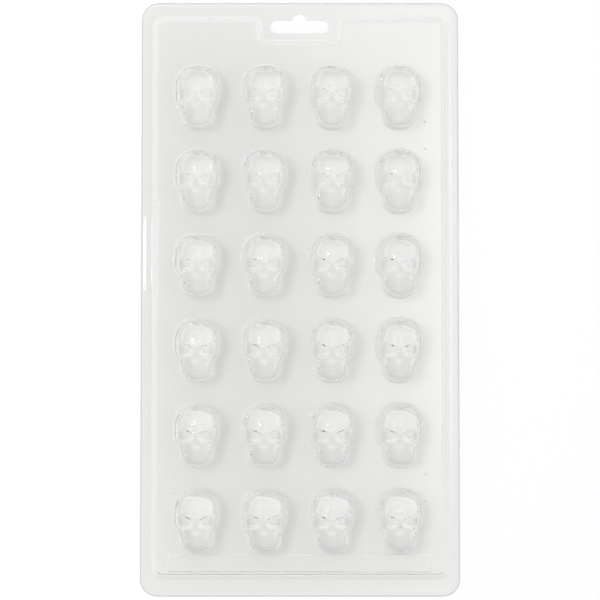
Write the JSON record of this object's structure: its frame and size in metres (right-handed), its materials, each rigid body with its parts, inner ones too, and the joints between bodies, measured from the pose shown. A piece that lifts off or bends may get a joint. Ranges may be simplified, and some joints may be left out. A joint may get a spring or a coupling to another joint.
{
  "type": "skull candy mould",
  "caption": "Clear vacuum-formed plastic sheet mould with a grid of small skull-shaped cavities for sugar or chocolate, a stepped rim and a tab with a hang slot",
  "frame": {"origin": "Under the middle of the sheet, on the plane that its flange rests on", "axes": "+X to the right and +Y to the hang slot as the mould is seen with the backs of the skulls towards the viewer, +Z out of the sheet on that side"},
  "size_m": [0.167, 0.312, 0.0154],
  "materials": {
    "clear_sheet": "clear, glossy vacuum-formed polyester sheet"
  },
  "bodies": {
    "root": {"hang_tab": "clear_sheet", "top_left_rim": "clear_sheet", "top_right_rim": "clear_sheet", "left_rim": "clear_sheet", "right_rim": "clear_sheet", "bottom_rim": "clear_sheet", "skull_cavity_r1_c1": "clear_sheet", "skull_cavity_r1_c2": "clear_sheet", "skull_cavity_r1_c3": "clear_sheet", "skull_cavity_r1_c4": "clear_sheet", "skull_cavity_r2_c1": "clear_sheet", "skull_cavity_r2_c2": "clear_sheet", "skull_cavity_r2_c3": "clear_sheet", "skull_cavity_r2_c4": "clear_sheet", "skull_cavity_r3_c1": "clear_sheet", "skull_cavity_r3_c2": "clear_sheet", "skull_cavity_r3_c3": "clear_sheet", "skull_cavity_r3_c4": "clear_sheet", "skull_cavity_r4_c1": "clear_sheet", "skull_cavity_r4_c2": "clear_sheet", "skull_cavity_r4_c3": "clear_sheet", "skull_cavity_r4_c4": "clear_sheet", "skull_cavity_r5_c1": "clear_sheet", "skull_cavity_r5_c2": "clear_sheet", "skull_cavity_r5_c3": "clear_sheet", "skull_cavity_r5_c4": "clear_sheet", "skull_cavity_r6_c1": "clear_sheet", "skull_cavity_r6_c2": "clear_sheet", "skull_cavity_r6_c3": "clear_sheet", "skull_cavity_r6_c4": "clear_sheet"}
  },
  "joints": []
}
